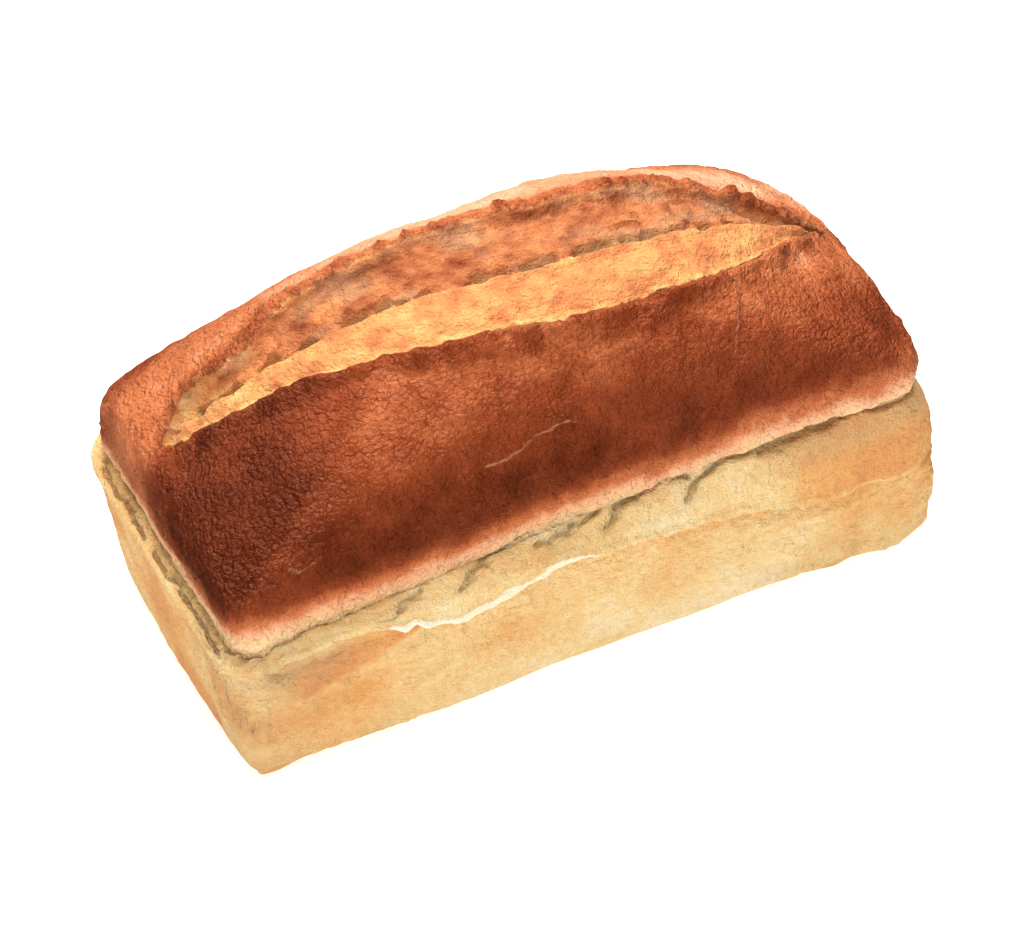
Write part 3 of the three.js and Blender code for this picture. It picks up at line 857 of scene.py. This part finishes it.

# The crown is darkest in a band round its front, which reaches farther back on the left. The crust
# fades to cream over its rolled edge, and behind the split it is light, partly its own paler bake
# and partly a painted sheen, but for a band low down.
left_part = 1 - smooth(-100, -60, x)
right_top = smooth(40, 80, x) * smooth(24, 40, above_edge)
darkest = lerp(DARK_BAKE, DARKEST_BAKE, hill(x, -60, 60))
dark_band = hill(above_edge, 17, lerp(24, 34, left_part))
dark_band *= 1 - smooth(-40, lerp(-20, 30, left_part), y)
dark_band *= 1 - 0.4 * smooth(66, 92, x) * smooth(10, 28, above_edge)
crown_bake = lerp(CROWN_BAKE, darkest, dark_band) - RIGHT_TOP_LOSS * right_top
crown_bake += 0.01 * left_part + LEFT_END_GAIN * facing_left

edge_up = above_edge + 1.4 * grain(9, 71) + 0.5 * grain(2.6, 72) + 1.2 * slant_folds
roll_top = lerp(17, 22, smooth(0, 80, x))
crust_bake = lerp(EDGE_BAKE, ROLL_BAKE, smooth(lerp(0, 3, facing_left), 9, edge_up))
crust_bake = lerp(crust_bake, crown_bake, smooth(5, roll_top, edge_up))

far_bake = lerp(FAR_LEFT_BAKE, FAR_CROWN_BAKE_AND_SHEEN, smooth(-90, -20, x)) + 0.08 * smooth(30, 60, x)
far_bake = lerp(far_bake, FAR_LOW_BAKE, hill(above_edge, 15, 20) * smooth(25, 50, y))
crust_bake = lerp(crust_bake, far_bake, smooth(-5, 20, y) * smooth(5, 20, edge_up))

near_left_edge = hill(from_corner(-112, -56), 0, 20) * (1 - smooth(8, 26, above_edge))
crust_bake -= 0.14 * slant_folds + 0.1 * edge_folds + NEAR_LEFT_LOSS * near_left_edge
crust_bake += 0.06 * grain(16, 45) + 0.06 * grain(6, 46)
crust_bake += FAR_LIP_GAIN * hill(lip, 2.5, 5) * far * wide_split
crust_bake -= 0.1 * smooth(0.3, 0.7, grain(22, 47)) * smooth(20, 60, x)
bake = lerp(bake, crust_bake, on_crust)

# The near band of the split is paler than the far slope, and palest just inside its lip.
split_bake = lerp(NEAR_BAND_BAKE, FAR_SLOPE_BAKE, far) + 0.14 * grain(8, 48) + 0.14 * grain(3, 49)
split_bake -= 0.12 * hill(lip, -1, 0.8) * near * (1 + 1.4 * grain(3, 67)) + 0.1 * left_fibres
split_bake -= LEFT_HOLLOW_LOSS * left_hollow + RIGHT_HOLLOW_LOSS * right_hollow
split_bake += 0.12 * slope_folds
bake = lerp(bake, split_bake, in_split)

bake += PLATE_GAIN * plates + 0.04 * np.clip(lip_rim, 0, 1) - 0.05 * lip_wrinkles
bake = lerp(bake, NODULE_BAKE, np.clip(0.6 * nodules - 0.1, 0, 1))
bake = lerp(bake, RIDGE_BAKE, 0.8 * dark_ridge)
bake = lerp(bake, CREASE_BAKE, np.clip(crease_line * (0.6 + grain(6, 50)), 0, 1))
bake = lerp(bake, CRATER_BAKE, 0.8 * craters)
bake = np.clip(bake, 0, 1)

# Painted shade greys the crumb in the craters, in patches of the far slope, along the tears, in the
# right of the shred under the crust, and round the near left corner.
right_shred = hill(above_edge, -6, 5) * smooth(48, 66, x) * between(rise, 2.6, 3, 4, 4.2)
left_shred = hill(x, -100, 20) * hill(z, 46, 8) * on_front * (1 - smooth(3.9, 4.1, rise))
grey_shade = CRATER_SHADE * craters + 0.12 * right_hollow
grey_shade += SLOPE_SHADE * in_split * far * smooth(-0.1, 0.6, grain(6, 73, (2, 1, 1)))
grey_shade += TEAR_SIDE_SHADE * tear_zone * hill(tear_line, 0, 1.6) + CORNER_FOLD_SHADE * corner_folds
grey_shade += RIGHT_SHRED_SHADE * right_shred + LEFT_SHRED_SHADE * left_shred
grey_shade += CORNER_SHADE * hill(from_corner(-116, -58), 0, 22) * on_wall
grey_shade = np.clip(grey_shade, 0, 1)

# A painted highlight runs along the lip of the ledge on the front.
white = 0.2 + 0.2 * grain(7, 70) - np.abs(rise - 2.16)
white -= 1 - facing_front * between(x, -78, -70, -10, 12)

gloss = crown_front * smooth(10, 30, above_edge) * lerp(1, 0.45, smooth(-20, 40, x))

store("bake", bake)
store("grey_shade", grey_shade)
store("crack", crack_line)
store("tear", lerp(CLEAR, tear_line, tear_zone))
store("gloss", gloss)
store("white", white)


# ---- Loaf: bread --------------------------------------------------------------------------------
# Baked white dough. Bare crumb goes from cream through gold to brown and is matt. Crust goes from
# cream through orange to a dark red-brown, and shines a little over its tiny pebbles and pores.

SHADE_OLIVE = (0.42, 0.34, 0.20)
LIP_HIGHLIGHT = (0.97, 0.82, 0.60)
TEAR_SHADE = (0.20, 0.13, 0.06)
CRACK_CRUMB = (0.70, 0.36, 0.19)
CRUMB_ROUGHNESS = 0.9
CRUST_ROUGHNESS = 0.38
POLISH = 0.1  # how much smoother the crust is where it shines
SPECULAR_LEVEL = 0.34
WARM_SHINE = (1, 0.55, 0.35, 1)
WARP = 0.004
NET_SCALE = 240
PEBBLE_SCALE = 620
BUMP_HEIGHT = 0.002

bread = bpy.data.materials.new("baked_bread")
bread.use_nodes = True
nodes = bread.node_tree.nodes
links = bread.node_tree.links
surface = nodes["Principled BSDF"]


def node(kind, **settings):
    made = nodes.new(kind)
    for name, value in settings.items():
        setattr(made, name, value)
    return made


def join(source, target):
    links.new(source, target)


def colour_ramp(factor, stops):
    ramp = node("ShaderNodeValToRGB")
    while len(ramp.color_ramp.elements) < len(stops):
        ramp.color_ramp.elements.new(0.5)
    for element, (position, colour) in zip(ramp.color_ramp.elements, stops):
        element.position = position
        element.color = (*colour, 1)
    join(factor, ramp.inputs["Fac"])
    return ramp.outputs["Color"]


def mix_colour(factor, first, second):
    mix = node("ShaderNodeMix", data_type="RGBA")
    join(factor, mix.inputs["Factor"])
    join(first, mix.inputs["A"])
    if isinstance(second, tuple):
        mix.inputs["B"].default_value = (*second, 1)
    else:
        join(second, mix.inputs["B"])
    return mix.outputs["Result"]


def speckle(scale, detail, roughness=0.6, stretch=(1, 1, 1), output="Fac"):
    """Fine noise on the loaf, with its scale in cells per metre."""
    noise = node("ShaderNodeTexNoise")
    noise.inputs["Scale"].default_value = scale
    noise.inputs["Detail"].default_value = detail
    noise.inputs["Roughness"].default_value = roughness
    mapping = node("ShaderNodeMapping")
    mapping.inputs["Scale"].default_value = stretch
    join(coordinates.outputs["Object"], mapping.inputs["Vector"])
    join(mapping.outputs["Vector"], noise.inputs["Vector"])
    return noise.outputs[output]


def calculate(operation, first, second):
    maths = node("ShaderNodeMath", operation=operation)
    for value, socket in ((first, maths.inputs[0]), (second, maths.inputs[1])):
        if isinstance(value, (int, float)):
            socket.default_value = value
        else:
            join(value, socket)
    return maths.outputs["Value"]


def add(first, *others):
    for value in others:
        first = calculate("ADD", first, value)
    return first


def multiply(first, second):
    return calculate("MULTIPLY", first, second)


def swing(value, amount):
    """A speckle's value about 0, times the amount."""
    return multiply(calculate("SUBTRACT", value, 0.5), amount)


def fade(value, low, high, start=0.0, end=1.0):
    """Takes a value from start to end while it goes from low to high."""
    fading = node("ShaderNodeMapRange", interpolation_type="SMOOTHSTEP")
    fading.inputs["From Min"].default_value = low
    fading.inputs["From Max"].default_value = high
    fading.inputs["To Min"].default_value = start
    fading.inputs["To Max"].default_value = end
    join(value, fading.inputs["Value"])
    return fading.outputs["Result"]


def attribute(name):
    return node("ShaderNodeAttribute", attribute_name=name).outputs["Fac"]


coordinates = node("ShaderNodeTexCoord")
blotches = speckle(90, 4)
mottle = speckle(380, 4)
freckles = speckle(1100, 3)
pores = speckle(2200, 2)

# The crust ends raggedly at its lower edge and at the lips of the split.
lip_edge = add(attribute("lip"), swing(mottle, 2.4))
rise_edge = add(attribute("rise"), swing(mottle, 0.35))
crust_share = multiply(fade(rise_edge, 3.98, 4.2), fade(lip_edge, -0.3, 0.4))

fine = multiply(add(swing(mottle, 0.3), swing(freckles, 0.2)), fade(crust_share, 0, 1, 1, 0.6))
tone = add(attribute("bake"), swing(blotches, 0.26), fine)
crumb_colour = colour_ramp(tone, [
    (0.0, (0.90, 0.77, 0.52)),
    (0.18, (0.84, 0.60, 0.275)),
    (0.38, (0.76, 0.38, 0.125)),
    (0.62, (0.64, 0.22, 0.078)),
    (1.0, (0.22, 0.04, 0.015)),
])
crust_colour = colour_ramp(tone, [
    (0.0, (0.88, 0.60, 0.31)),
    (0.25, (0.84, 0.41, 0.22)),
    (0.45, (0.58, 0.165, 0.058)),
    (0.7, (0.27, 0.048, 0.013)),
    (1.0, (0.095, 0.012, 0.002)),
])
colour = mix_colour(crust_share, crumb_colour, crust_colour)
# Painted shade turns the crumb grey-olive in the hollows.
colour = mix_colour(attribute("grey_shade"), colour, SHADE_OLIVE)
# A painted highlight lies along the ledge's lip.
highlight_edge = add(attribute("white"), swing(mottle, 0.3))
colour = mix_colour(fade(highlight_edge, -0.05, 0.05), colour, LIP_HIGHLIGHT)
tear_edge = add(attribute("tear"), swing(mottle, 0.9))
colour = mix_colour(fade(tear_edge, 0, 0.7, 0.6, 0), colour, TEAR_SHADE)
crack_edge = add(attribute("crack"), swing(mottle, 0.9))
colour = mix_colour(fade(crack_edge, 0, 0.6, 0.36, 0), colour, CRACK_CRUMB)
join(colour, surface.inputs["Base Color"])

roughness = fade(crust_share, 0, 1, CRUMB_ROUGHNESS, CRUST_ROUGHNESS)
roughness = add(roughness, multiply(attribute("gloss"), -POLISH))
join(roughness, surface.inputs["Roughness"])
surface.inputs["Specular IOR Level"].default_value = SPECULAR_LEVEL
surface.inputs["Specular Tint"].default_value = WARM_SHINE

# The crust's pebbles are uneven round cells, and a net of fine cracks surrounds the lips.
warp = node("ShaderNodeVectorMath", operation="MULTIPLY_ADD")
join(speckle(300, 2, 0.5, output="Color"), warp.inputs[0])
warp.inputs[1].default_value = (WARP, WARP, WARP)
join(coordinates.outputs["Object"], warp.inputs[2])
net = node("ShaderNodeTexVoronoi", feature="DISTANCE_TO_EDGE")
net.inputs["Scale"].default_value = NET_SCALE
join(warp.outputs["Vector"], net.inputs["Vector"])
by_lip = fade(attribute("lip"), 4, 22, 1, 0)
crackle = multiply(fade(net.outputs["Distance"], 0, 0.07, 1, 0), multiply(by_lip, crust_share))
cells = node("ShaderNodeTexVoronoi", feature="F1")
cells.inputs["Scale"].default_value = PEBBLE_SCALE
join(warp.outputs["Vector"], cells.inputs["Vector"])
from_cell = cells.outputs["Distance"]

# Height of the fine skin: gritty crumb with level streaks, and pebbled crust.
knobs = speckle(450, 3)
grit = add(multiply(speckle(1200, 2, 0.5), 0.32), multiply(pores, 0.18))
streaks = speckle(600, 4, 0.65, (0.45, 0.45, 1))
crumb_height = add(multiply(grit, 1.3), multiply(knobs, 0.9), streaks)
pebbles = multiply(multiply(from_cell, from_cell), -0.5)
crust_height = add(grit, multiply(knobs, 0.7), pebbles)
height = node("ShaderNodeMix", data_type="FLOAT")
join(crust_share, height.inputs["Factor"])
join(crumb_height, height.inputs["A"])
join(crust_height, height.inputs["B"])
cracks = multiply(crackle, -0.1)
tear_groove = fade(tear_edge, 0, 1.1, -0.5, 0)
bump = node("ShaderNodeBump")
bump.inputs["Strength"].default_value = 1.0
bump.inputs["Distance"].default_value = BUMP_HEIGHT
join(add(height.outputs["Result"], cracks, tear_groove), bump.inputs["Height"])
join(bump.outputs["Normal"], surface.inputs["Normal"])

loaf.data.materials.clear()
loaf.data.materials.append(bread)


# ---- Floor and light ----------------------------------------------------------------------------
# A plain white table, with a softbox above, a larger one behind, and one in front that doesn't
# show in the crust's gloss. The air of the room adds an even light.

FLOOR_SIZE = 60
TABLE_PAINT = (0.9, 0.9, 0.9, 1)
TABLE_GLOW = 0.6
WHITE = (1, 1, 1, 1)
AIR_LIGHT = 0.25
LIGHT_AIM = Vector((0, 0, 0.06))

bpy.ops.object.select_all(action="DESELECT")
bpy.ops.mesh.primitive_plane_add(size=FLOOR_SIZE, location=(0, 0, 0))
floor = bpy.context.object
floor.name = "floor"
floor_paint = bpy.data.materials.new("white_table")
floor_paint.use_nodes = True
table_top = floor_paint.node_tree.nodes["Principled BSDF"]
table_top.inputs["Base Color"].default_value = TABLE_PAINT
table_top.inputs["Roughness"].default_value = 0.9
table_top.inputs["Emission Color"].default_value = WHITE
table_top.inputs["Emission Strength"].default_value = TABLE_GLOW
floor.data.materials.append(floor_paint)
floor.visible_glossy = False


def softbox(name, place, size, power, mirrored=True):
    """A square area light that faces the loaf, and may or may not show in its gloss."""
    bpy.ops.object.light_add(type="AREA", location=place)
    light = bpy.context.object
    light.name = name
    light.data.size = size
    light.data.energy = power
    light.visible_glossy = mirrored
    towards = LIGHT_AIM - Vector(place)
    light.rotation_euler = towards.to_track_quat("-Z", "Y").to_euler()


softbox("top_softbox", (-0.06, -0.16, 0.95), 0.4, 5.5)
softbox("back_softbox", (0.1, 0.5, 0.98), 0.6, 16.5)
softbox("front_softbox", (-0.5, -1.0, 0.5), 0.6, 6.5, mirrored=False)

world = bpy.data.worlds.new("studio_air")
bpy.context.scene.world = world
world.use_nodes = True
background = world.node_tree.nodes["Background"]
background.inputs["Color"].default_value = WHITE
background.inputs["Strength"].default_value = AIR_LIGHT
world.cycles_visibility.glossy = False
bpy.context.scene.view_settings.view_transform = "Standard"
